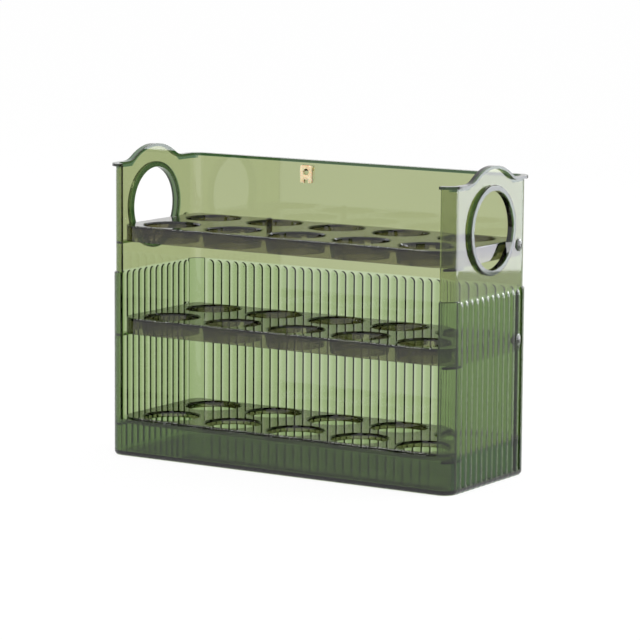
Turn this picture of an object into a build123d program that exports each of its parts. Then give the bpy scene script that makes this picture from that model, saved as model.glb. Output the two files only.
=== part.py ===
"""Egg dispenser box: an open-fronted clear box with a fixed tray and two trays that flip up.

Millimetres. X runs along the box, +Y to its back wall, +Z up. The origin is the centre of the
footprint, on the surface that the box stands on.
"""

from build123d import *
import os
from math import radians, tan

# Footprint and heights of the box
base_width = 262.0
base_depth = 100.0
base_corner_radius = 9.5
base_fillet = 2.5
base_ring = 3.5
plinth_height = 24.5
band_height = 122.5
rim_height = 194.5

# Walls
wall = 2.0
floor_thickness = 2.2
foot_height = 0.8
foot_width = 6.0
band_proud = 1.2
band_edge = 0.8

# Rim lip along the top edge
lip_reach = 2.5
lip_thickness = 1.8

# Round handle openings and the humps above them, hung from the rim
handle_drop = 31.4
handle_radius = 25.3
handle_wall = 3.5
handle_edge = 0.7
hump_radius = 40.9
hump_blend = 16.0

# Upright half-round reeds on the lower band
reed_pitch = 6.65
reed_gap = 0.3
reed_proud = 1.1

# Egg trays: the top one's plate lies this far below the rim
top_drop = 41.0
middle_level = 92.0
bottom_level = 25.5
tray_side_gap = 0.7
tray_front_gap = 0.8
tray_back_gap = 0.7
tray_front_corner = 16.0
tray_back_corner = 6.0
tray_edge = 0.8
plate_thickness = 2.0
skirt_wall = 1.8
skirt_depth = 10.6
bottom_skirt_depth = 4.0

# Egg pockets: a tapered collar round each hole, the end ones centred this far in from the tray's end
column_count = 5
column_margin = 29.1
pocket_radius = 18.7
collar_wall = 1.3
collar_taper = 8.0
collar_overlap = 0.25
pocket_chamfer = 0.9
rib_thickness = 1.2

# Ledges in the corners that the trays come to rest on
ledge_reach = 5.0
ledge_length = 15.0
ledge_thickness = 1.5
rest_gap = 0.1

# Hinge pins
pivot_setback = 9.8
pivot_drop = 3.2
pin_radius = 2.0
pin_running_gap = 0.05
pin_head_radius = 4.0
pin_head_height = 1.4
pin_head_crown = 0.9
pin_head_gap = 0.1
pin_recess_gap = 0.4
pin_tip_chamfer = 0.4
boss_radius = 4.4
boss_length = 3.0

# Catch that holds the top tray upright, and the stud on the tray that enters it
catch_x = -37.5
catch_drop = 8.0
catch_width = 9.0
catch_thickness = 2.0
catch_above = 4.4
catch_below = 7.4
catch_corner = 1.2
catch_leg_gap = 3.4
catch_leg_height = 2.4
hook_width = 7.6
hook_thickness = 1.4
hook_drop = 2.6
hook_back_gap = 0.1
slot_gap = 0.15
stud_radius = 2.0
stud_gap = 0.3
stud_tip_gap = 0.3
stud_nose = 0.6

# Planes and edges that follow from the sizes above
half_width = base_width / 2 - band_proud
half_depth = base_depth / 2 - band_proud
wall_corner_radius = base_corner_radius - band_proud
flat_half_width = half_width - wall_corner_radius
flat_half_depth = half_depth - wall_corner_radius
inner_half_width = half_width - wall
inner_half_depth = half_depth - wall
inner_corner_radius = wall_corner_radius - wall
floor_level = foot_height + floor_thickness
lip_bottom = rim_height - lip_thickness
handle_level = rim_height - handle_drop
top_level = rim_height - top_drop
catch_level = rim_height - catch_drop
crest_level = handle_level + hump_radius
clear = 2 * lip_reach + base_fillet

tray_half_width = inner_half_width - tray_side_gap
tray_front = -inner_half_depth + tray_front_gap
tray_back = inner_half_depth - tray_back_gap
column_pitch = 2 * (tray_half_width - column_margin) / (column_count - 1)
collar_radius = pocket_radius + collar_wall
front_row = tray_front + skirt_wall + collar_radius - collar_overlap
back_row = tray_back - skirt_wall - collar_radius + collar_overlap
row_pitch = back_row - front_row
row_middle = (front_row + back_row) / 2
pivot_y = inner_half_depth - pivot_setback
stud_y = pivot_y - (catch_level - (top_level - pivot_drop))
stud_height = inner_half_depth - stud_tip_gap - (pivot_y + pivot_drop)
catch_hole_radius = stud_radius + stud_gap
slot_level = catch_level + catch_above - hook_thickness / 2


def side_plane(side, distance):
    """Plane across X on the right (1) or left (-1), facing outwards, with Z up and Y across."""
    return Plane(origin=(side * distance, 0, 0), x_dir=(0, side, 0), z_dir=(side, 0, 0))


def crest_outline(inset):
    """Upper part of a side wall seen from the side, with its hump, drawn smaller by inset."""
    level = rim_height - inset
    with BuildSketch() as outline:
        with Locations((0, handle_level)):
            Circle(hump_radius - inset)
        with Locations((0, level)):
            Rectangle(3 * hump_radius, hump_radius, align=(Align.CENTER, Align.MIN), mode=Mode.INTERSECT)
            Rectangle(2 * flat_half_depth, level - handle_level, align=(Align.CENTER, Align.MAX))
        feet = outline.vertices().filter_by(
            lambda v: abs(v.Y - level) < 1e-4 and abs(v.X) < flat_half_depth - 1e-4
        )
        fillet(feet, hump_blend + inset)
    return outline.sketch


# One reed: a circular segment in plan, with a quarter-sphere cap for its arched top
reed_chord = reed_pitch - reed_gap
reed_spring = band_height - band_edge - reed_chord / 2

with BuildPart() as reed:
    with BuildSketch(Plane.XY.offset(base_ring)):
        with BuildLine():
            ThreePointArc((-reed_chord / 2, 0), (0, reed_proud), (reed_chord / 2, 0))
            Line((reed_chord / 2, 0), (-reed_chord / 2, 0))
        make_face()
    extrude(amount=reed_spring - base_ring)
    with BuildSketch(Plane.XY.offset(reed_spring)):
        with BuildLine():
            segment_radius = (reed_chord**2 / 4 + reed_proud**2) / (2 * reed_proud)
            RadiusArc((0, reed_proud), (reed_chord / 2, 0), segment_radius)
            Line((reed_chord / 2, 0), (0, 0))
            Line((0, 0), (0, reed_proud))
        make_face()
    revolve(axis=Axis((0, 0, reed_spring), (0, -1, 0)), revolution_arc=180)

wall_top = crest_outline(0)
lip_band = wall_top - crest_outline(lip_thickness)
side_reeds = int(2 * flat_half_depth / reed_pitch)
back_reeds = int(2 * flat_half_width / reed_pitch)

with BuildPart() as box_body:
    # Lower band: full footprint, rounded at its foot and along its top edge
    with BuildSketch():
        RectangleRounded(base_width, base_depth, base_corner_radius)
    extrude(amount=band_height)
    fillet(box_body.edges().group_by(Axis.Z)[0], base_fillet)
    fillet(box_body.edges().group_by(Axis.Z)[-1], band_edge)

    # Set the flats of the sides and back in, where the reeds stand
    with BuildSketch(Plane.XY.offset(base_ring)):
        with Locations((half_width, 0)):
            Rectangle(clear, 2 * flat_half_depth, align=(Align.MIN, Align.CENTER))
        with Locations((-half_width, 0)):
            Rectangle(clear, 2 * flat_half_depth, align=(Align.MAX, Align.CENTER))
        with Locations((0, half_depth)):
            Rectangle(2 * flat_half_width, clear, align=(Align.CENTER, Align.MIN))
    extrude(amount=band_height, mode=Mode.SUBTRACT)

    # Upper walls and the lip round their top
    with BuildSketch():
        RectangleRounded(2 * half_width, 2 * half_depth, wall_corner_radius)
    extrude(amount=rim_height)
    with BuildSketch(Plane.XY.offset(lip_bottom)):
        RectangleRounded(
            2 * (half_width + lip_reach), 2 * (half_depth + lip_reach), wall_corner_radius + lip_reach
        )
        with Locations((half_width, 0)):
            Rectangle(clear, 2 * flat_half_depth, align=(Align.MIN, Align.CENTER), mode=Mode.SUBTRACT)
        with Locations((-half_width, 0)):
            Rectangle(clear, 2 * flat_half_depth, align=(Align.MAX, Align.CENTER), mode=Mode.SUBTRACT)
    extrude(amount=lip_thickness)

    # Side walls rise in a hump over each handle, and the lip follows it
    for side in (1, -1):
        with BuildSketch(side_plane(side, inner_half_width)):
            add(wall_top)
        extrude(amount=wall)
        with BuildSketch(side_plane(side, half_width)):
            add(lip_band)
        extrude(amount=lip_reach)

    # Hollow, open at the top, and open at the front above the plinth
    with BuildSketch(Plane.XY.offset(floor_level)):
        RectangleRounded(2 * inner_half_width, 2 * inner_half_depth, inner_corner_radius)
    extrude(amount=crest_level, mode=Mode.SUBTRACT)
    with BuildSketch(Plane.XY.offset(plinth_height)):
        with Locations((0, -inner_half_depth + wall)):
            Rectangle(2 * flat_half_width, 2 * wall + clear, align=(Align.CENTER, Align.MAX))
    extrude(amount=crest_level, mode=Mode.SUBTRACT)

    # Shallow recess below the floor, so that the box stands on a rim
    with BuildSketch():
        RectangleRounded(
            base_width - 2 * foot_width,
            base_depth - 2 * foot_width,
            max(base_corner_radius - foot_width, 0.5),
        )
    extrude(amount=foot_height, mode=Mode.SUBTRACT)

    # Handle openings, each with a collar that stands out as far as the lip
    for side in (1, -1):
        with BuildSketch(side_plane(side, inner_half_width)):
            with Locations((0, handle_level)):
                Circle(handle_radius + handle_wall)
        extrude(amount=wall + lip_reach)
    ring_edges = box_body.edges().filter_by(GeomType.CIRCLE).filter_by(
        lambda e: abs(e.radius - handle_radius - handle_wall) < 1e-4
    )
    fillet(ring_edges.group_by(Axis.X)[0] + ring_edges.group_by(Axis.X)[-1], handle_edge)
    for side in (1, -1):
        with BuildSketch(side_plane(side, inner_half_width - wall)):
            with Locations((0, handle_level)):
                Circle(handle_radius)
        extrude(amount=2 * wall + 2 * lip_reach, mode=Mode.SUBTRACT)

    # Reeds
    with Locations(Location((half_width, 0, 0), (0, 0, -90)), Location((-half_width, 0, 0), (0, 0, 90))):
        with GridLocations(reed_pitch, reed_pitch, side_reeds, 1):
            add(reed.part)
    with Locations((0, half_depth, 0)):
        with GridLocations(reed_pitch, reed_pitch, back_reeds, 1):
            add(reed.part)

    # Ledges: in the front corners below each tray, and in the back corners below the fixed one
    skirt_bottoms = [
        top_level - skirt_depth - rest_gap,
        middle_level - skirt_depth - rest_gap,
        bottom_level - bottom_skirt_depth,
    ]
    for ledge_top in skirt_bottoms:
        with BuildSketch(Plane.XY.offset(ledge_top)):
            for side in (Align.MIN, Align.MAX):
                direction = 1 if side == Align.MAX else -1
                with Locations((direction * inner_half_width, -inner_half_depth)):
                    Rectangle(ledge_reach, ledge_length, align=(side, Align.MIN))
            RectangleRounded(
                2 * inner_half_width, 2 * inner_half_depth, inner_corner_radius, mode=Mode.INTERSECT
            )
        extrude(amount=-ledge_thickness)
    with BuildSketch(Plane.XY.offset(bottom_level - bottom_skirt_depth)):
        for side in (Align.MIN, Align.MAX):
            direction = 1 if side == Align.MAX else -1
            with Locations((direction * inner_half_width, inner_half_depth)):
                Rectangle(ledge_reach, ledge_length, align=(side, Align.MAX))
        RectangleRounded(
            2 * inner_half_width, 2 * inner_half_depth, inner_corner_radius, mode=Mode.INTERSECT
        )
    extrude(amount=-ledge_thickness)

    # Hinge pin holes through the side walls, with the reeds cleared away round the heads
    for side in (1, -1):
        for level in (top_level, middle_level):
            with BuildSketch(side_plane(side, half_width)):
                with Locations((side * pivot_y, level - pivot_drop)):
                    Circle(pin_head_radius + pin_recess_gap)
            extrude(amount=clear, mode=Mode.SUBTRACT)
            with BuildSketch(side_plane(side, inner_half_width - wall)):
                with Locations((side * pivot_y, level - pivot_drop)):
                    Circle(pin_radius + pin_running_gap)
            extrude(amount=2 * wall + clear, mode=Mode.SUBTRACT)

    # Slot in the back wall for the catch's hook
    with BuildSketch(Plane.XZ.offset(-inner_half_depth + wall)):
        with Locations((catch_x, slot_level)):
            Rectangle(hook_width + 2 * slot_gap, hook_thickness + 2 * slot_gap)
    extrude(amount=-3 * wall, mode=Mode.SUBTRACT)

box_body.part.label = "box_body"


def egg_tray(level, depth):
    """Tray with its plate's top at level: a skirt of the given depth and ten tapered pockets."""
    taper = tan(radians(collar_taper))
    below = level - plate_thickness
    collar_length = depth - plate_thickness
    with BuildSketch(Plane.XY.offset(level)) as outline:
        with Locations((0, tray_front)):
            Rectangle(2 * tray_half_width, tray_back - tray_front, align=(Align.CENTER, Align.MIN))
        fillet(outline.vertices().group_by(Axis.Y)[0], tray_front_corner)
        fillet(outline.vertices().group_by(Axis.Y)[-1], tray_back_corner)
    with BuildPart() as tray:
        add(outline.sketch)
        extrude(amount=-depth)
        fillet(tray.edges().group_by(Axis.Z)[-1], tray_edge)
        with BuildSketch(Plane.XY.offset(below)):
            add(outline.sketch.moved(Location((0, 0, -level))))
            offset(amount=-skirt_wall)
        extrude(amount=-depth, mode=Mode.SUBTRACT)
        with Locations((0, row_middle, below)):
            with GridLocations(column_pitch, row_pitch, column_count, 2):
                Cone(
                    collar_radius - collar_length * taper,
                    collar_radius,
                    collar_length,
                    align=(Align.CENTER, Align.CENTER, Align.MAX),
                )
        with Locations((0, (tray_front + front_row) / 2, below)):
            with GridLocations(column_pitch, 1, column_count, 1):
                Box(
                    rib_thickness,
                    front_row - tray_front - skirt_wall,
                    collar_length,
                    align=(Align.CENTER, Align.CENTER, Align.MAX),
                )
        with Locations((0, row_middle, level)):
            with GridLocations(column_pitch, row_pitch, column_count, 2):
                Cone(
                    pocket_radius - depth * taper,
                    pocket_radius,
                    depth,
                    align=(Align.CENTER, Align.CENTER, Align.MAX),
                    mode=Mode.SUBTRACT,
                )
                Cone(
                    pocket_radius - pocket_chamfer * taper,
                    pocket_radius + pocket_chamfer,
                    pocket_chamfer,
                    align=(Align.CENTER, Align.CENTER, Align.MAX),
                    mode=Mode.SUBTRACT,
                )
    return tray.part


fixed_tray = egg_tray(bottom_level, bottom_skirt_depth)
flip_tray = egg_tray(middle_level, skirt_depth)

with BuildPart() as bottom_tray:
    add(fixed_tray)
bottom_tray.part.label = "bottom_tray"

# Middle tray: pin bosses inside the skirt, bored for the hinge pins
with BuildPart() as middle_tray:
    add(flip_tray)
    for side in (1, -1):
        with BuildSketch(side_plane(side, tray_half_width - skirt_wall / 2)):
            with Locations((side * pivot_y, middle_level - pivot_drop)):
                Circle(boss_radius)
            with Locations((side * pivot_y, middle_level - plate_thickness / 2)):
                Rectangle(
                    2 * boss_radius,
                    2 * boss_radius,
                    align=(Align.CENTER, Align.MAX),
                    mode=Mode.INTERSECT,
                )
        extrude(amount=-boss_length - skirt_wall / 2)
        with BuildSketch(side_plane(side, tray_half_width + skirt_wall)):
            with Locations((side * pivot_y, middle_level - pivot_drop)):
                Circle(pin_radius)
        extrude(amount=-boss_length - 3 * skirt_wall, mode=Mode.SUBTRACT)
middle_tray.part.label = "middle_tray"

# Top tray: the same moulding, with a stud on its web that enters the catch
with BuildPart() as top_tray:
    with Locations((0, 0, top_level - middle_level)):
        add(middle_tray.part)
    with Locations((catch_x, stud_y, top_level - plate_thickness / 2)):
        Cylinder(
            stud_radius, stud_height + plate_thickness / 2, align=(Align.CENTER, Align.CENTER, Align.MIN)
        )
    fillet(top_tray.edges().group_by(Axis.Z)[-1], stud_nose)
top_tray.part.label = "top_tray"


# Hinge pin with its axis along X, head outwards: a crowned head and a plain shank
pin_seat = half_width + pin_head_gap
pin_length = pin_seat - (tray_half_width - skirt_wall - boss_length)

with BuildPart() as hinge_pin:
    with BuildSketch(Plane.XZ):
        with BuildLine():
            Line((0, -pin_length), (pin_radius - pin_tip_chamfer, -pin_length))
            Line((pin_radius - pin_tip_chamfer, -pin_length), (pin_radius, pin_tip_chamfer - pin_length))
            Line((pin_radius, pin_tip_chamfer - pin_length), (pin_radius, 0))
            Line((pin_radius, 0), (pin_head_radius, 0))
            Line((pin_head_radius, 0), (pin_head_radius, pin_head_height - pin_head_crown))
            crown_radius = (pin_head_radius**2 + pin_head_crown**2) / (2 * pin_head_crown)
            RadiusArc(
                (pin_head_radius, pin_head_height - pin_head_crown), (0, pin_head_height), -crown_radius
            )
            Line((0, pin_head_height), (0, -pin_length))
        make_face()
    revolve(axis=Axis.Z)


def pin_location(side, level):
    """Where a hinge pin's seat lies on the right (1) or left (-1) of the tray at level."""
    return Location((side * pin_seat, pivot_y, level - pivot_drop), (0, side * 90, 0))


with BuildPart() as top_left_pin:
    with Locations(pin_location(-1, top_level)):
        add(hinge_pin.part)
top_left_pin.part.label = "top_left_pin"

with BuildPart() as top_right_pin:
    with Locations(pin_location(1, top_level)):
        add(hinge_pin.part)
top_right_pin.part.label = "top_right_pin"

with BuildPart() as middle_left_pin:
    with Locations(pin_location(-1, middle_level)):
        add(hinge_pin.part)
middle_left_pin.part.label = "middle_left_pin"

with BuildPart() as middle_right_pin:
    with Locations(pin_location(1, middle_level)):
        add(hinge_pin.part)
middle_right_pin.part.label = "middle_right_pin"

# Catch: a plate with two legs and a stud hole, hung by its hook through the slot in the back wall
catch_back = -inner_half_depth

with BuildPart() as tray_catch:
    with BuildSketch(Plane.XZ.offset(catch_back)) as plate:
        with Locations((catch_x, catch_level + (catch_above - catch_below) / 2)):
            Rectangle(catch_width, catch_above + catch_below)
        fillet(plate.vertices(), catch_corner)
        with Locations((catch_x, catch_level - catch_below)):
            Rectangle(
                catch_leg_gap, catch_leg_height, align=(Align.CENTER, Align.MIN), mode=Mode.SUBTRACT
            )
        with Locations((catch_x, catch_level)):
            Circle(catch_hole_radius, mode=Mode.SUBTRACT)
    extrude(amount=catch_thickness)
    with Locations((catch_x, inner_half_depth - catch_thickness / 2, slot_level)):
        Box(
            hook_width,
            catch_thickness / 2 + wall + hook_back_gap + hook_thickness,
            hook_thickness,
            align=(Align.CENTER, Align.MIN, Align.CENTER),
        )
    with Locations((catch_x, half_depth + hook_back_gap, slot_level + hook_thickness / 2)):
        Box(
            hook_width,
            hook_thickness,
            hook_thickness + hook_drop,
            align=(Align.CENTER, Align.MIN, Align.MAX),
        )
tray_catch.part.label = "tray_catch"

os.makedirs("parts", exist_ok=True)
export_step(box_body.part, "parts/box_body.step")
export_step(bottom_tray.part, "parts/bottom_tray.step")
export_step(middle_tray.part, "parts/middle_tray.step")
export_step(top_tray.part, "parts/top_tray.step")
export_step(top_left_pin.part, "parts/top_left_pin.step")
export_step(top_right_pin.part, "parts/top_right_pin.step")
export_step(middle_left_pin.part, "parts/middle_left_pin.step")
export_step(middle_right_pin.part, "parts/middle_right_pin.step")
export_step(tray_catch.part, "parts/tray_catch.step")
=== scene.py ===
"""Looks of an egg dispenser box with smoky flip-up trays, hinge pins and an ivory catch."""

import logging
import math
from dataclasses import dataclass
from enum import Enum

import bmesh
import bpy
from mathutils import Matrix, Vector


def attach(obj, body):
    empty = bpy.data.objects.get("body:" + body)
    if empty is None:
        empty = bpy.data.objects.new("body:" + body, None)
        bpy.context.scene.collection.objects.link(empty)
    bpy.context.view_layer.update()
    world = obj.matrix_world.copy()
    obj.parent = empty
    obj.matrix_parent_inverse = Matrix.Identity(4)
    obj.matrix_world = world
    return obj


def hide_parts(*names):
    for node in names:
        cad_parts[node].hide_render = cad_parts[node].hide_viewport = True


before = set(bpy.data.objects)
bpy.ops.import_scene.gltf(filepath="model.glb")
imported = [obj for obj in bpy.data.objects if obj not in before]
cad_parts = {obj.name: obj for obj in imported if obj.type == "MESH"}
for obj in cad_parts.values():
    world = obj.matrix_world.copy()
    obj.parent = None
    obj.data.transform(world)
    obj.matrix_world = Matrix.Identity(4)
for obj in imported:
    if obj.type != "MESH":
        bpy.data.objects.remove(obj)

LOG = logging.getLogger("egg_box")

Tree = bpy.types.NodeTree
Socket = bpy.types.NodeSocket
Colour = tuple[float, float, float]
Point = tuple[float, float, float]
Pair = tuple[float, float]

MM = 0.001
WHITE: Colour = (1.0, 1.0, 1.0)
RISING: Pair = (0.0, 1.0)
FALLING: Pair = (1.0, 0.0)

# Places of a Mix node's colour sockets, whose names are shared by its other sockets.
MIX_UNDER = 6
MIX_OVER = 7
MIX_RESULT = 2

# Points closer than this are one, in metres.
WELD = 0.0001 * MM
# Edges that turn by more than this are drawn sharp.
SHARP_ANGLE = math.radians(40.0)
# Profile of a bevel that is part of a circle.
ROUND_PROFILE = 0.5

TRAY_LEVELS = {"bottom_tray": 25.5 * MM, "middle_tray": 92.0 * MM, "top_tray": 153.5 * MM}
HINGE_HEIGHTS = {"middle": 88.8 * MM, "top": 150.3 * MM}
BOUNCES = 40


class Tint(Enum):
    """Absorption of each clear plastic, per metre, in red, green and blue."""

    OLIVE = (332.0, 250.0, 472.0)
    SMOKE = (600.0, 625.0, 860.0)
    PALE_SMOKE = (170.0, 140.0, 190.0)


class Side(Enum):
    """Side of the box that a hinge pin goes through."""

    LEFT = -1
    RIGHT = 1


def empty_tree(name: str) -> tuple[bpy.types.Material, Tree]:
    """Start a node material with nothing in it but its output.

    Args:
        name: Material name.

    Returns:
        The material and its node tree.
    """
    material = bpy.data.materials.new(name)
    material.use_nodes = True
    tree = material.node_tree
    tree.nodes.clear()
    tree.nodes.new("ShaderNodeOutputMaterial")
    return material, tree


def remap(tree: Tree, value: Socket, source: Pair, target: Pair, smooth: bool = False) -> Socket:
    """Stretch a value from one range to another.

    Args:
        tree: Node tree to add to.
        value: Value to stretch.
        source: Range that the value is read over.
        target: Range that it is given.
        smooth: Whether the ends of the range ease in and out.

    Returns:
        Socket with the new value.
    """
    node = tree.nodes.new("ShaderNodeMapRange")
    if smooth:
        node.interpolation_type = "SMOOTHSTEP"
    node.inputs["From Min"].default_value = source[0]
    node.inputs["From Max"].default_value = source[1]
    node.inputs["To Min"].default_value = target[0]
    node.inputs["To Max"].default_value = target[1]
    tree.links.new(value, node.inputs["Value"])
    return node.outputs["Result"]


def combine(tree: Tree, operation: str, first: Socket, second: Socket) -> Socket:
    """Join two values with a sum, product or the like.

    Args:
        tree: Node tree to add to.
        operation: Name of the Math node's operation.
        first: First value.
        second: Second value.

    Returns:
        Socket with the result.
    """
    node = tree.nodes.new("ShaderNodeMath")
    node.operation = operation
    tree.links.new(first, node.inputs[0])
    tree.links.new(second, node.inputs[1])
    return node.outputs["Value"]


def alter(tree: Tree, operation: str, value: Socket, amount: float = 0.0) -> Socket:
    """Change a value by a fixed amount.

    Args:
        tree: Node tree to add to.
        operation: Name of the Math node's operation.
        value: Value to change.
        amount: Second operand, where the operation has one.

    Returns:
        Socket with the result.
    """
    node = tree.nodes.new("ShaderNodeMath")
    node.operation = operation
    node.inputs[1].default_value = amount
    tree.links.new(value, node.inputs[0])
    return node.outputs["Value"]


def overlay(tree: Tree, mode: str, share: Socket, under: Socket, over: Colour) -> Socket:
    """Lay an even colour over another by a varying share.

    Args:
        tree: Node tree to add to.
        mode: Blend type of the Mix node.
        share: Share of the colour that is laid over.
        under: Colour underneath.
        over: Colour that is laid over it.

    Returns:
        Socket with the mixed colour.
    """
    node = tree.nodes.new("ShaderNodeMix")
    node.data_type = "RGBA"
    node.blend_type = mode
    tree.links.new(share, node.inputs["Factor"])
    tree.links.new(under, node.inputs[MIX_UNDER])
    node.inputs[MIX_OVER].default_value = (*over, 1.0)
    return node.outputs[MIX_RESULT]


def ramp(tree: Tree, value: Socket, stops: list[tuple[float, Colour]]) -> Socket:
    """Colour a value by the stops that it lies between.

    Args:
        tree: Node tree to add to.
        value: Value, from 0 to 1.
        stops: Values and their colours, from the lowest up.

    Returns:
        Socket with the colour.
    """
    node = tree.nodes.new("ShaderNodeValToRGB")
    elements = node.color_ramp.elements
    while len(elements) > 1:
        elements.remove(elements[-1])
    elements[0].position = stops[0][0]
    elements[0].color = (*stops[0][1], 1.0)
    for position, colour in stops[1:]:
        elements.new(position).color = (*colour, 1.0)
    tree.links.new(value, node.inputs["Fac"])
    return node.outputs["Color"]


def emboss(tree: Tree, height: Socket, strength: float, distance: float) -> Socket:
    """Raise and sink a surface by a varying height.

    Args:
        tree: Node tree to add to.
        height: Height, from 0 to 1.
        strength: Share of the relief that shows.
        distance: Height that 1 stands for, in metres.

    Returns:
        Socket with the surface's new normal.
    """
    node = tree.nodes.new("ShaderNodeBump")
    node.inputs["Strength"].default_value = strength
    node.inputs["Distance"].default_value = distance
    tree.links.new(height, node.inputs["Height"])
    return node.outputs["Normal"]


def split_place(tree: Tree, place: Socket) -> bpy.types.Node:
    """Take a piece's own coordinates apart.

    Args:
        tree: Node tree to add to.
        place: The coordinates.

    Returns:
        Node with the coordinates one by one.
    """
    node = tree.nodes.new("ShaderNodeSeparateXYZ")
    tree.links.new(place, node.inputs["Vector"])
    return node


@dataclass(frozen=True)
class Shade:
    """Colour that a clear moulding gives to light at one height.

    Attributes:
        height: Height above the shelf, in metres.
        colour: Linear red, green and blue.
    """

    height: float
    colour: Colour


@dataclass(frozen=True)
class Grain:
    """Noise that varies a material over a piece.

    Attributes:
        scale: Noise scale, per metre.
        detail: Octaves of finer noise.
        used: Part of the noise's range that is used.
        spread: What the used part stands for, as multiples of a mean value.
    """

    scale: float
    detail: float
    used: Pair = RISING
    spread: Pair = RISING

    def noise(self, tree: Tree, place: Socket) -> Socket:
        """Add the noise texture.

        Args:
            tree: Node tree to add to.
            place: Coordinates that the noise reads.

        Returns:
            Socket with the noise.
        """
        node = tree.nodes.new("ShaderNodeTexNoise")
        node.inputs["Scale"].default_value = self.scale
        node.inputs["Detail"].default_value = self.detail
        tree.links.new(place, node.inputs["Vector"])
        return node.outputs["Fac"]

    def about(self, tree: Tree, noise: Socket, mean: float) -> Socket:
        """Vary a value about its mean.

        Args:
            tree: Node tree to add to.
            noise: The noise.
            mean: Mean of the value.

        Returns:
            Socket with the varying value.
        """
        low, high = self.spread
        return remap(tree, noise, self.used, (mean * low, mean * high))


@dataclass(frozen=True)
class PaintedEdgeShade:
    """Painted shade on the handle collars and on the lip, darkening them to dark lines.

    Attributes:
        face: Distance of the side walls' inner faces from the middle of the box, in metres.
        handle_height: Height of the handles' axis, in metres.
        collar_radius: Outer radius of the handle collars, in metres.
        lip_bottom: Height of the lip's underside, in metres.
        hump_inside: Radius of the lip's underside on a hump, in metres.
        hump_half: Half the length of a hump, in metres.
        soft: Width of the painted shade's soft ends, in metres.
        colour: Linear colour of the painted shade.
    """

    face: float = 126.5 * MM
    handle_height: float = 163.1 * MM
    collar_radius: float = 28.9 * MM
    lip_bottom: float = 192.7 * MM
    hump_inside: float = 39.1 * MM
    hump_half: float = 28.0 * MM
    soft: float = 0.3 * MM
    colour: Colour = (0.18, 0.29, 0.25)

    def mask(self, tree: Tree, split: bpy.types.Node) -> Socket:
        """Add nodes for where the painted shade lies.

        Args:
            tree: Node tree to add to.
            split: Node that gives the piece's own coordinates one by one.

        Returns:
            Socket that is 1 on the collars and the lip.
        """
        across = alter(tree, "ABSOLUTE", split.outputs["X"])
        along = alter(tree, "ABSOLUTE", split.outputs["Y"])
        rise = alter(tree, "SUBTRACT", split.outputs["Z"], self.handle_height)
        along_squared = combine(tree, "MULTIPLY", along, along)
        rise_squared = combine(tree, "MULTIPLY", rise, rise)
        radius = alter(tree, "SQRT", combine(tree, "ADD", along_squared, rise_squared))
        side = self.past(tree, across, self.face)
        collar = self.past(tree, radius, self.collar_radius, FALLING)
        outside_hump = self.past(tree, radius, self.hump_inside)
        above_hump_foot = self.past(tree, rise, self.hump_half)
        hump = combine(tree, "MULTIPLY", outside_hump, above_hump_foot)
        sides = combine(tree, "MULTIPLY", side, combine(tree, "MAXIMUM", collar, hump))
        above_lip = self.past(tree, split.outputs["Z"], self.lip_bottom)
        beside_hump = self.past(tree, along, self.hump_half)
        flat = combine(tree, "MULTIPLY", above_lip, beside_hump)
        return combine(tree, "MAXIMUM", sides, flat)

    def past(self, tree: Tree, value: Socket, edge: float, shares: Pair = RISING) -> Socket:
        """Add a node that changes where a value passes an edge.

        Args:
            tree: Node tree to add to.
            value: Value to compare.
            edge: The edge, in metres.
            shares: What it gives below the edge and past it.

        Returns:
            Socket that changes softly just below the edge.
        """
        return remap(tree, value, (edge - self.soft, edge), shares)


@dataclass(frozen=True)
class PaintedFootShade:
    """Painted shade: dark bars along the front flank of each reed at the foot of a side wall.

    Attributes:
        pitch: Distance from reed to reed, in metres.
        top: Height that the bars end at, in metres.
        face: Distance of the side walls' outer faces from the middle of the box, in metres.
        soft: Width of the bars' soft ends, in metres.
        rise: Where a bar begins, as a range of shares of the pitch.
        fall: Where a bar ends, as a range of shares of the pitch.
        colour: Linear colour of the painted shade bars.
    """

    pitch: float = 6.65 * MM
    top: float = 24.5 * MM
    face: float = 129.7 * MM
    soft: float = 0.4 * MM
    rise: Pair = (0.0, 0.1)
    fall: Pair = (0.46, 0.56)
    colour: Colour = (0.10, 0.26, 0.19)

    def mask(self, tree: Tree, split: bpy.types.Node) -> Socket:
        """Add nodes for where the bars lie.

        Args:
            tree: Node tree to add to.
            split: Node that gives the piece's own coordinates one by one.

        Returns:
            Socket that is 1 on a bar.
        """
        away = alter(tree, "ABSOLUTE", split.outputs["X"])
        outer = remap(tree, away, (self.face - self.soft, self.face), RISING)
        ends = (self.top - self.soft, self.top + self.soft)
        low = remap(tree, split.outputs["Z"], ends, FALLING)
        part = alter(tree, "FRACT", alter(tree, "DIVIDE", split.outputs["Y"], self.pitch))
        begun = remap(tree, part, self.rise, RISING, smooth=True)
        unended = remap(tree, part, self.fall, FALLING, smooth=True)
        bar = combine(tree, "MULTIPLY", begun, unended)
        return combine(tree, "MULTIPLY", bar, combine(tree, "MULTIPLY", outer, low))


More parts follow.
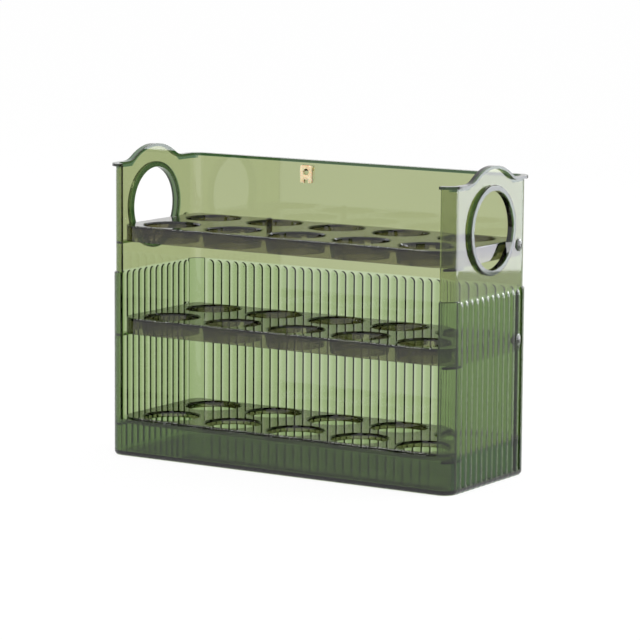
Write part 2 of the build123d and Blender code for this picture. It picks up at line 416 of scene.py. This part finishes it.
@dataclass(frozen=True)
class ClearPlastic:
    """Transparent moulded plastic that deepens with the length of the light's path.

    Attributes:
        name: Material name.
        tint: Absorption of the plastic.
        shades: Colours by height, from the lowest up.
        painted_shades: Painted shade on places where the moulding looks darker, each with its
            colour.
        roughness: Mean roughness of the moulded surface.
        ior: Refractive index.
        top: Height that the colours are spread over, in metres.
        headroom: Density of the absorption as a multiple of the strongest tint.
        haze: Noise of the roughness.
        flow: Noise of the slow waviness left by the mould.
        ripple: Height of the waviness, in metres.
        ripple_share: Share of the waviness that shows.
        streak: Noise of the faint streaks in the colour.
        streak_colour: Colour that a full streak multiplies by.
    """

    name: str
    tint: Tint
    shades: tuple[Shade, ...] = (Shade(0.0, WHITE),)
    painted_shades: tuple[PaintedEdgeShade | PaintedFootShade, ...] = ()
    roughness: float = 0.03
    ior: float = 1.55
    top: float = 210.0 * MM
    headroom: float = 1.05
    haze: Grain = Grain(60.0, 4.0, used=(0.3, 0.7), spread=(0.5, 1.8))
    flow: Grain = Grain(22.0, 1.0)
    ripple: float = 0.03 * MM
    ripple_share: float = 0.4
    streak: Grain = Grain(9.0, 3.0, used=(0.35, 0.65), spread=(0.0, 0.12))
    streak_colour: Colour = (0.82, 0.86, 0.78)

    def build(self) -> bpy.types.Material:
        """Make the node material.

        Returns:
            The finished material.
        """
        material, tree = empty_tree(self.name)
        output = tree.nodes["Material Output"]
        shader = tree.nodes.new("ShaderNodeBsdfPrincipled")
        shader.inputs["Transmission Weight"].default_value = 1.0
        shader.inputs["IOR"].default_value = self.ior
        place = tree.nodes.new("ShaderNodeTexCoord").outputs["Object"]
        rough = self.haze.about(tree, self.haze.noise(tree, place), self.roughness)
        wave = emboss(tree, self.flow.noise(tree, place), self.ripple_share, self.ripple)
        tree.links.new(rough, shader.inputs["Roughness"])
        tree.links.new(wave, shader.inputs["Normal"])
        tree.links.new(self.shade(tree, place), shader.inputs["Base Color"])
        tree.links.new(shader.outputs["BSDF"], output.inputs["Surface"])
        tree.links.new(self.depth(tree), output.inputs["Volume"])
        return material

    def depth(self, tree: Tree) -> Socket:
        """Add the absorption inside the moulding.

        Args:
            tree: Node tree to add to.

        Returns:
            Socket with the volume.
        """
        strongest = max(self.tint.value) * self.headroom
        passed = (1.0 - part / strongest for part in self.tint.value)
        node = tree.nodes.new("ShaderNodeVolumeAbsorption")
        node.inputs["Color"].default_value = (*passed, 1.0)
        node.inputs["Density"].default_value = strongest
        return node.outputs["Volume"]

    def shade(self, tree: Tree, place: Socket) -> Socket:
        """Colour the moulding by height, with its faint streaks and its painted shade.

        Args:
            tree: Node tree to add to.
            place: The piece's own coordinates.

        Returns:
            Socket with the colour.
        """
        split = split_place(tree, place)
        level = remap(tree, split.outputs["Z"], (0.0, self.top), RISING)
        stops = [(shade.height / self.top, shade.colour) for shade in self.shades]
        share = self.streak.about(tree, self.streak.noise(tree, place), 1.0)
        colour = overlay(tree, "MULTIPLY", share, ramp(tree, level, stops), self.streak_colour)
        for painted_shade in self.painted_shades:
            # Lay each painted shade over the colour where its mask lies.
            colour = overlay(tree, "MIX", painted_shade.mask(tree, split), colour, painted_shade.colour)
        return colour


@dataclass(frozen=True)
class SatinPlastic:
    """Opaque moulded plastic with a satin face.

    Attributes:
        name: Material name.
        light: Linear colour of its paler parts.
        dark: Linear colour of its warmer parts.
        roughness: Mean roughness.
        ior: Refractive index.
        scatter: Share of light that is scattered under its face.
        scatter_depth: Depth of the scattering, in metres.
        cloud: Noise of its colour.
        grain: Noise of its roughness and its relief.
        relief: Height of its relief, in metres.
        relief_share: Share of the relief that shows.
    """

    name: str
    light: Colour
    dark: Colour
    roughness: float = 0.38
    ior: float = 1.5
    scatter: float = 0.25
    scatter_depth: float = 1.5 * MM
    cloud: Grain = Grain(160.0, 3.0, used=(0.3, 0.6))
    grain: Grain = Grain(1800.0, 2.0, used=(0.3, 0.7), spread=(0.8, 1.25))
    relief: float = 0.04 * MM
    relief_share: float = 0.15

    def build(self) -> bpy.types.Material:
        """Make the node material.

        Returns:
            The finished material.
        """
        material, tree = empty_tree(self.name)
        shader = tree.nodes.new("ShaderNodeBsdfPrincipled")
        shader.inputs["Subsurface Weight"].default_value = self.scatter
        shader.inputs["Subsurface Scale"].default_value = self.scatter_depth
        shader.inputs["IOR"].default_value = self.ior
        place = tree.nodes.new("ShaderNodeTexCoord").outputs["Object"]
        stops = list(zip(self.cloud.used, (self.dark, self.light)))
        colour = ramp(tree, self.cloud.noise(tree, place), stops)
        tree.links.new(colour, shader.inputs["Base Color"])
        grain = self.grain.noise(tree, place)
        relief = emboss(tree, grain, self.relief_share, self.relief)
        tree.links.new(self.grain.about(tree, grain, self.roughness), shader.inputs["Roughness"])
        tree.links.new(relief, shader.inputs["Normal"])
        tree.links.new(shader.outputs["BSDF"], tree.nodes["Material Output"].inputs["Surface"])
        return material


def dress(node: str, material: bpy.types.Material) -> None:
    """Give a carried-over node its material.

    Args:
        node: Node name in the frame.
        material: Material for every slot of the node.
    """
    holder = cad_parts[node]
    if not holder.material_slots:
        holder.data.materials.append(material)
    for slot in holder.material_slots:
        slot.material = material
    LOG.info("dressed %s in %s", node, material.name)


def finish_piece(
    shape: bmesh.types.BMesh, name: str, material: bpy.types.Material
) -> bpy.types.Object:
    """Turn a bmesh in place into a finished piece.

    Args:
        shape: Mesh with its place in its points, in metres.
        name: Piece name.
        material: Material of the piece.

    Returns:
        The piece's object, at the origin.
    """
    bmesh.ops.remove_doubles(shape, verts=shape.verts, dist=WELD)
    bmesh.ops.recalc_face_normals(shape, faces=shape.faces)
    for face in shape.faces:
        face.smooth = True
    mesh = bpy.data.meshes.new(name)
    shape.to_mesh(mesh)
    shape.free()
    mesh.materials.append(material)
    mesh.set_sharp_from_angle(angle=SHARP_ANGLE)
    piece = bpy.data.objects.new(name, mesh)
    bpy.context.scene.collection.objects.link(piece)
    LOG.info("built %s with %d faces", name, len(mesh.polygons))
    return piece


@dataclass
class BoxBody:
    """The box itself: walls, reeded band, floor, lip and handle rings.

    Attributes:
        node: Its node in the frame.
        plinth_height: Height of the closed front below the open one, in metres.
        band_height: Height of the reeded band, in metres.
        blend: Half the height that one colour goes over into the next, in metres.
        upper: Extra colour of the plain walls above the band.
        band: Extra colour of the reeded band.
        plinth_painted_shade: Extra colour of the foot, a painted shade that darkens it.
    """

    node: str = "box_body"
    plinth_height: float = 24.5 * MM
    band_height: float = 122.5 * MM
    blend: float = 0.4 * MM
    upper: Colour = (0.83, 0.78, 0.65)
    band: Colour = WHITE
    plinth_painted_shade: Colour = (0.79, 0.83, 0.76)

    def dress(self) -> None:
        """Give the body its clear olive plastic, deeper above the band, with painted shade in the
        plinth.
        """
        shades = (
            # The plinth's darker colour below the tray level is painted shade.
            Shade(0.0, self.plinth_painted_shade),
            Shade(self.plinth_height - self.blend, self.plinth_painted_shade),
            Shade(self.plinth_height + self.blend, self.band),
            Shade(self.band_height - self.blend, self.band),
            Shade(self.band_height + self.blend, self.upper),
        )
        olive = ClearPlastic("olive_clear", Tint.OLIVE, shades, (PaintedEdgeShade(), PaintedFootShade()))
        dress(self.node, olive.build())


@dataclass
class EggTray:
    """One egg tray with its pockets.

    Attributes:
        node: Its node in the frame.
        level: Height of its plate, in metres.
    """

    node: str
    level: float

    def dress(self, smoke: bpy.types.Material) -> None:
        """Give the tray its smoky plastic.

        Args:
            smoke: The smoky plastic.
        """
        dress(self.node, smoke)
        LOG.info("%s has its plate at %.1f mm", self.node, self.level / MM)


@dataclass
class HingePin:
    """Hinge pin pushed through a side wall into a flip tray's boss.

    Attributes:
        name: Piece name.
        node: The node that it stands for.
        body: Flip tray that it turns with.
        side: Side of the box that it goes through.
        height: Height of its axis, in metres.
        setback: Distance of its axis behind the middle of the box, in metres.
        seat: Distance of its head's seat from the middle of the box, in metres.
        shank_radius: Radius of the shank, in metres.
        shank_length: Length of the shank below the head, in metres.
        lead: Chamfer at the shank's tip, in metres.
        head_radius: Radius of the head, in metres.
        head_height: Height of the head, in metres.
        crown: Part of the head's height that is domed, in metres.
        crown_stops: Radii that the dome's outline goes through, as shares of the head's radius.
        dimple_radius: Radius of the moulding dimple in the head, in metres.
        dimple_depth: Depth of the dimple, in metres.
        dimple_floor: Radius of the dimple's floor, as a share of the dimple's radius.
        edge: Rounding of the head's edges, in metres.
        turns: Number of steps that the outline is turned in.
    """

    name: str
    node: str
    body: str
    side: Side
    height: float
    setback: float = 37.0 * MM
    seat: float = 129.9 * MM
    shank_radius: float = 2.0 * MM
    shank_length: float = 7.6 * MM
    lead: float = 0.4 * MM
    head_radius: float = 4.0 * MM
    head_height: float = 1.4 * MM
    crown: float = 0.9 * MM
    crown_stops: tuple[float, ...] = (0.92, 0.8, 0.65, 0.5, 0.35)
    dimple_radius: float = 0.8 * MM
    dimple_depth: float = 0.25 * MM
    dimple_floor: float = 0.6
    edge: float = 0.12 * MM
    turns: int = 48

    def profile(self) -> list[Pair]:
        """Outline of half the pin.

        Returns:
            Pairs of radius and distance along the pin, from its tip to the middle of its head.
        """
        outline = [
            (0.0, -self.shank_length),
            (self.shank_radius - self.lead, -self.shank_length),
            (self.shank_radius, self.lead - self.shank_length),
            (self.shank_radius, 0.0),
            (self.head_radius - self.edge, 0.0),
            (self.head_radius, self.edge),
            (self.head_radius, self.head_height - self.crown),
        ]
        radii = [self.head_radius * stop for stop in self.crown_stops]
        radii.append(self.dimple_radius)
        dome = (self.head_radius**2 + self.crown**2) / (2.0 * self.crown)
        for radius in radii:
            outline.append((radius, self.head_height - dome + math.sqrt(dome**2 - radius**2)))
        floor = self.head_height - self.dimple_depth
        outline.append((self.dimple_radius * self.dimple_floor, floor))
        outline.append((0.0, floor))
        return outline

    def build(self, plastic: bpy.types.Material) -> bpy.types.Object:
        """Turn the pin on its axis and set it in its place.

        Args:
            plastic: Material of the pin.

        Returns:
            The finished pin.
        """
        shape = bmesh.new()
        points = [shape.verts.new((0.0, radius, along)) for radius, along in self.profile()]
        edges = [shape.edges.new(pair) for pair in zip(points, points[1:])]
        bmesh.ops.spin(
            shape,
            geom=points + edges,
            cent=(0.0, 0.0, 0.0),
            axis=(0.0, 0.0, 1.0),
            angle=2.0 * math.pi,
            steps=self.turns,
            use_merge=True,
        )
        lay = Matrix.Rotation(self.side.value * math.pi / 2.0, 4, "Y")
        place = Matrix.Translation((self.side.value * self.seat, self.setback, self.height))
        bmesh.ops.transform(shape, matrix=place @ lay, verts=shape.verts)
        pin = finish_piece(shape, self.name, plastic)
        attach(pin, self.body)
        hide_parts(self.node)
        return pin


@dataclass
class TrayCatch:
    """Catch that holds the top tray upright, hooked through a slot in the back wall.

    Attributes:
        name: Piece name.
        node: The node that it stands for.
        middle: Distance of its middle along the box, in metres.
        level: Height of the middle of its hole, in metres.
        wall_face: Distance of the back wall's inner face behind the middle of the box, in metres.
        wall: Thickness of the back wall, in metres.
        width: Width of the plate, in metres.
        thickness: Thickness of the plate, in metres.
        above: Height of the plate above the middle of its hole, in metres.
        below: Depth of the plate below the middle of its hole, in metres.
        corner: Radius of its corners, in metres.
        corner_steps: Number of steps in a corner.
        leg_gap: Gap between its legs, in metres.
        leg_height: Height of its legs, in metres.
        hole_radius: Radius of its hole, in metres.
        hole_steps: Number of steps round its hole.
        hook_width: Width of the hook, in metres.
        hook_thickness: Thickness of the hook, in metres.
        hook_drop: Length that the hook hangs down behind the wall, in metres.
        hook_gap: Gap between the hook and the wall, in metres.
        edge: Rounding of its edges, in metres.
        edge_steps: Number of steps in a rounding.
        crease: Turn between two faces past which their edge is rounded, in radians.
    """

    name: str = "ivory_catch"
    node: str = "tray_catch"
    middle: float = -37.5 * MM
    level: float = 186.5 * MM
    wall_face: float = 46.8 * MM
    wall: float = 2.0 * MM
    width: float = 9.0 * MM
    thickness: float = 2.0 * MM
    above: float = 4.4 * MM
    below: float = 7.4 * MM
    corner: float = 1.2 * MM
    corner_steps: int = 6
    leg_gap: float = 3.4 * MM
    leg_height: float = 2.4 * MM
    hole_radius: float = 2.3 * MM
    hole_steps: int = 40
    hook_width: float = 7.6 * MM
    hook_thickness: float = 1.4 * MM
    hook_drop: float = 2.6 * MM
    hook_gap: float = 0.1 * MM
    edge: float = 0.28 * MM
    edge_steps: int = 3
    crease: float = math.radians(50.0)

    def plate(self) -> bmesh.types.BMesh:
        """Cut the plate with its legs and hole, and round its edges.

        Returns:
            The plate, face forwards, with the middle of its hole at the origin.
        """
        shape = bmesh.new()
        half, gap = self.width / 2.0, self.leg_gap / 2.0
        foot, crotch = -self.below, self.leg_height - self.below
        outside = [(half, foot), (half, self.above), (-half, self.above), (-half, foot)]
        between_legs = [(-gap, foot), (-gap, crotch), (gap, crotch), (gap, foot)]
        points = [shape.verts.new((x, 0.0, z)) for x, z in outside + between_legs]
        for first, second in zip(points, points[1:] + points[:1]):
            shape.edges.new((first, second))
        bmesh.ops.bevel(
            shape,
            geom=points[: len(outside)],
            offset=self.corner,
            segments=self.corner_steps,
            profile=ROUND_PROFILE,
            affect="VERTICES",
            material=-1,
        )
        bmesh.ops.create_circle(
            shape,
            cap_ends=False,
            radius=self.hole_radius,
            segments=self.hole_steps,
            matrix=Matrix.Rotation(math.pi / 2.0, 4, "X"),
        )
        bmesh.ops.triangle_fill(shape, use_beauty=True, edges=shape.edges[:])
        front = bmesh.ops.extrude_face_region(shape, geom=shape.faces[:])["geom"]
        moved = [part for part in front if isinstance(part, bmesh.types.BMVert)]
        bmesh.ops.translate(shape, verts=moved, vec=(0.0, -self.thickness, 0.0))
        bmesh.ops.recalc_face_normals(shape, faces=shape.faces)
        self.round_edges(shape)
        return shape

    def round_edges(self, shape: bmesh.types.BMesh) -> None:
        """Round every edge where two faces meet at an angle.

        Args:
            shape: Mesh to round.
        """
        shared = [edge for edge in shape.edges if len(edge.link_faces) == 2]
        bmesh.ops.bevel(
            shape,
            geom=[edge for edge in shared if edge.calc_face_angle() > self.crease],
            offset=self.edge,
            segments=self.edge_steps,
            profile=ROUND_PROFILE,
            affect="EDGES",
            material=-1,
            clamp_overlap=True,
        )

    def bar(self, low: Vector, high: Vector) -> bmesh.types.BMesh:
        """Make one bar of the hook with rounded edges.

        Args:
            low: Lowest corner, in metres.
            high: Highest corner, in metres.

        Returns:
            The bar.
        """
        shape = bmesh.new()
        size = high - low
        middle = Matrix.Translation((low + high) / 2.0)
        stretch = Matrix.Diagonal((size.x, size.y, size.z, 1.0))
        bmesh.ops.create_cube(shape, size=1.0, matrix=middle @ stretch)
        self.round_edges(shape)
        return shape

    def build(self, plastic: bpy.types.Material) -> bpy.types.Object:
        """Put the plate and the hook together in their place.

        Args:
            plastic: Material of the catch.

        Returns:
            The finished catch.
        """
        half = self.hook_width / 2.0
        top = self.above
        behind = self.wall + self.hook_gap
        under = top - self.hook_thickness
        corner = Vector((half, behind + self.hook_thickness, top))
        neck = self.bar(Vector((-half, -self.thickness / 2.0, under)), corner)
        tail = self.bar(Vector((-half, behind, under - self.hook_drop)), corner)
        shape = self.plate()
        for part in (neck, tail):
            mesh = bpy.data.meshes.new("hook_bar")
            part.to_mesh(mesh)
            part.free()
            shape.from_mesh(mesh)
            bpy.data.meshes.remove(mesh)
        place = Matrix.Translation((self.middle, self.wall_face, self.level))
        bmesh.ops.transform(shape, matrix=place, verts=shape.verts)
        catch = finish_piece(shape, self.name, plastic)
        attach(catch, "box")
        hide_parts(self.node)
        return catch


@dataclass(frozen=True)
class Lamp:
    """One rectangular soft lamp.

    Attributes:
        name: Lamp name.
        spot: Centre of the lamp, in metres.
        size: Width and height, in metres.
        power: Power, in watts.
        colour: Linear colour of its light.
        aim: Point that it faces, in metres.
    """

    name: str
    spot: Point
    size: Pair
    power: float
    colour: Colour = WHITE
    aim: Point = (0.0, 0.0, 0.1)

    def hang(self) -> None:
        """Hang the lamp, out of sight of the camera and of rays through clear plastic."""
        data = bpy.data.lights.new(self.name, "AREA")
        data.shape = "RECTANGLE"
        data.size, data.size_y = self.size
        data.energy = self.power
        data.color = self.colour
        lamp = bpy.data.objects.new(self.name, data)
        bpy.context.scene.collection.objects.link(lamp)
        facing = Vector(self.aim) - Vector(self.spot)
        lamp.location = self.spot
        lamp.rotation_euler = facing.to_track_quat("-Z", "Y").to_euler()
        lamp.visible_camera = False
        lamp.visible_transmission = False


@dataclass
class Studio:
    """Camera, floor, white surroundings and lamps.

    Attributes:
        azimuth: Camera's turn round the box, in degrees.
        pitch: Camera's downward tilt, in degrees.
        roll: Camera's roll, in degrees.
        distance: Distance from the aim point, in metres.
        aim_height: Height of the aim point, in metres.
        aim_side: Sideways shift of the camera, in metres.
        focal_px: Focal length, in pixels of the picture.
        picture_px: Width of the picture, in pixels.
        sensor_mm: Width of the camera's sensor, in millimetres.
        far_clip: Distance as far as which the camera sees, in metres.
        glow: Strength of the white surroundings.
        floor_reach: Half the width of the floor, in metres.
        floor_colour: Linear colour that the floor has to light.
        floor_roughness: Roughness of the floor.
        white_share: Share of the floor that shows plain white to the viewer.
        painted_shadow_share: Part of that share taken away right under the box, a painted shadow.
        painted_shadow_half: Half the length and depth of that painted shadow, in metres.
        painted_shadow_edge: Width of the painted shadow's soft edge, in metres.
        lamps: The soft lamps.
    """

    azimuth: float = 32.338
    pitch: float = 8.231
    roll: float = 0.413
    distance: float = 2.153
    aim_height: float = 0.0952
    aim_side: float = 0.00246
    focal_px: float = 3293.7
    picture_px: float = 640.0
    sensor_mm: float = 36.0
    far_clip: float = 50.0
    glow: float = 1.0
    floor_reach: float = 8.0
    floor_colour: Colour = (0.93, 0.93, 0.93)
    floor_roughness: float = 0.8
    white_share: float = 0.92
    painted_shadow_share: float = 0.96
    painted_shadow_half: Pair = (0.126, 0.045)
    painted_shadow_edge: float = 0.02
    lamps: tuple[Lamp, ...] = (
        Lamp("side_panel", (0.75, 0.75, 0.3), (0.9, 0.7), 8.6, colour=(0.88, 0.88, 0.96)),
        Lamp("rim_panel", (0.45, 1.05, 0.62), (1.0, 0.6), 9.0),
        Lamp("key", (-0.9, -0.9, 1.5), (0.8, 0.8), 12.0),
    )

    def place_camera(self) -> None:
        """Put the camera at the photograph's viewpoint."""
        turn, tilt, roll = (math.radians(v) for v in (self.azimuth, self.pitch, self.roll))
        level = math.cos(tilt)
        ahead = Vector((-math.sin(turn) * level, math.cos(turn) * level, -math.sin(tilt)))
        right = Vector((math.cos(turn), math.sin(turn), 0.0))
        up = right.cross(ahead)
        side = math.cos(roll) * right + math.sin(roll) * up
        top = -math.sin(roll) * right + math.cos(roll) * up
        aim = Vector((0.0, 0.0, self.aim_height))
        spot = -self.distance * ahead + aim + self.aim_side * side
        data = bpy.data.cameras.new("camera")
        data.sensor_width = self.sensor_mm
        data.lens = self.focal_px / self.picture_px * self.sensor_mm
        data.clip_end = self.far_clip
        camera = bpy.data.objects.new("camera", data)
        bpy.context.scene.collection.objects.link(camera)
        camera.matrix_world = Matrix(
            (
                (side.x, top.x, -ahead.x, spot.x),
                (side.y, top.y, -ahead.y, spot.y),
                (side.z, top.z, -ahead.z, spot.z),
                (0.0, 0.0, 0.0, 1.0),
            )
        )
        bpy.context.scene.camera = camera

    def lay_floor(self) -> None:
        """Lay a pale floor that keeps the box's shadow."""
        mesh = bpy.data.meshes.new("floor")
        shape = bmesh.new()
        bmesh.ops.create_grid(shape, x_segments=1, y_segments=1, size=self.floor_reach)
        shape.to_mesh(mesh)
        shape.free()
        floor = bpy.data.objects.new("floor", mesh)
        bpy.context.scene.collection.objects.link(floor)
        mesh.materials.append(self.floor_material())

    def floor_material(self) -> bpy.types.Material:
        """Make the floor's material, plain white to the viewer but for the box's shadow and a
        painted shadow right under it.

        Returns:
            The finished material.
        """
        material, tree = empty_tree("floor_white")
        shader = tree.nodes.new("ShaderNodeBsdfPrincipled")
        shader.inputs["Base Color"].default_value = (*self.floor_colour, 1.0)
        shader.inputs["Roughness"].default_value = self.floor_roughness
        shader.inputs["Specular IOR Level"].default_value = 0.0
        lit = tree.nodes.new("ShaderNodeEmission")
        lit.inputs["Color"].default_value = (*WHITE, 1.0)
        lit.inputs["Strength"].default_value = 1.0
        blend = tree.nodes.new("ShaderNodeMixShader")
        white = combine(tree, "MULTIPLY", self.seen_rays(tree), self.white_with_painted_shadow(tree))
        tree.links.new(white, blend.inputs["Fac"])
        tree.links.new(shader.outputs["BSDF"], blend.inputs[1])
        tree.links.new(lit.outputs["Emission"], blend.inputs[2])
        tree.links.new(blend.outputs["Shader"], tree.nodes["Material Output"].inputs["Surface"])
        return material

    def white_with_painted_shadow(self, tree: Tree) -> Socket:
        """Add nodes for how white the floor shows, less in a painted shadow right under the box.

        Args:
            tree: Node tree to add to.

        Returns:
            Socket with the share of plain white.
        """
        split = split_place(tree, tree.nodes.new("ShaderNodeTexCoord").outputs["Object"])
        sides = []
        for axis, half in zip(("X", "Y"), self.painted_shadow_half):
            away = alter(tree, "ABSOLUTE", split.outputs[axis])
            edge = (half - self.painted_shadow_edge / 2.0, half + self.painted_shadow_edge / 2.0)
            sides.append(remap(tree, away, edge, FALLING, smooth=True))
        painted_shadow_patch = combine(tree, "MULTIPLY", *sides)
        painted_shadow_white = self.white_share * (1.0 - self.painted_shadow_share)
        return remap(tree, painted_shadow_patch, RISING, (self.white_share, painted_shadow_white))

    @staticmethod
    def seen_rays(tree: Tree) -> Socket:
        """Add nodes that tell rays the viewer sees from rays that only light things.

        Args:
            tree: Node tree to add to.

        Returns:
            Socket that is 1 for camera, glossy and transmission rays.
        """
        ray = tree.nodes.new("ShaderNodeLightPath")
        seen = combine(tree, "MAXIMUM", ray.outputs["Is Camera Ray"], ray.outputs["Is Glossy Ray"])
        return combine(tree, "MAXIMUM", seen, ray.outputs["Is Transmission Ray"])

    def light(self) -> None:
        """Set the white surroundings and hang the soft lamps."""
        world = bpy.data.worlds.new("studio")
        bpy.context.scene.world = world
        world.use_nodes = True
        tree = world.node_tree
        tree.nodes.clear()
        output = tree.nodes.new("ShaderNodeOutputWorld")
        white = tree.nodes.new("ShaderNodeBackground")
        white.inputs["Color"].default_value = (*WHITE, 1.0)
        white.inputs["Strength"].default_value = self.glow
        tree.links.new(white.outputs["Background"], output.inputs["Surface"])
        for lamp in self.lamps:
            lamp.hang()


def main() -> None:
    """Build the scene and report each piece."""
    logging.basicConfig(level=logging.INFO, format="%(name)s: %(message)s")
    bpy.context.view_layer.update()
    scene = bpy.context.scene
    scene.view_settings.view_transform = "Standard"
    scene.cycles.max_bounces = BOUNCES
    scene.cycles.transmission_bounces = BOUNCES
    studio = Studio()
    studio.place_camera()
    studio.lay_floor()
    studio.light()
    BoxBody().dress()
    smoke = ClearPlastic("smoky_clear", Tint.SMOKE).build()
    for node, level in TRAY_LEVELS.items():
        EggTray(node, level).dress(smoke)
    pale = ClearPlastic("pin_clear", Tint.PALE_SMOKE, roughness=0.08).build()
    for tier, height in HINGE_HEIGHTS.items():
        for side in Side:
            node = f"{tier}_{side.name.lower()}_pin"
            HingePin(f"{node}_turned", node, f"{tier}_flip_tray", side, height).build(pale)
    ivory = SatinPlastic("ivory_satin", light=(0.95, 0.78, 0.50), dark=(0.86, 0.60, 0.32))
    TrayCatch().build(ivory.build())


if __name__ == "__main__":
    main()
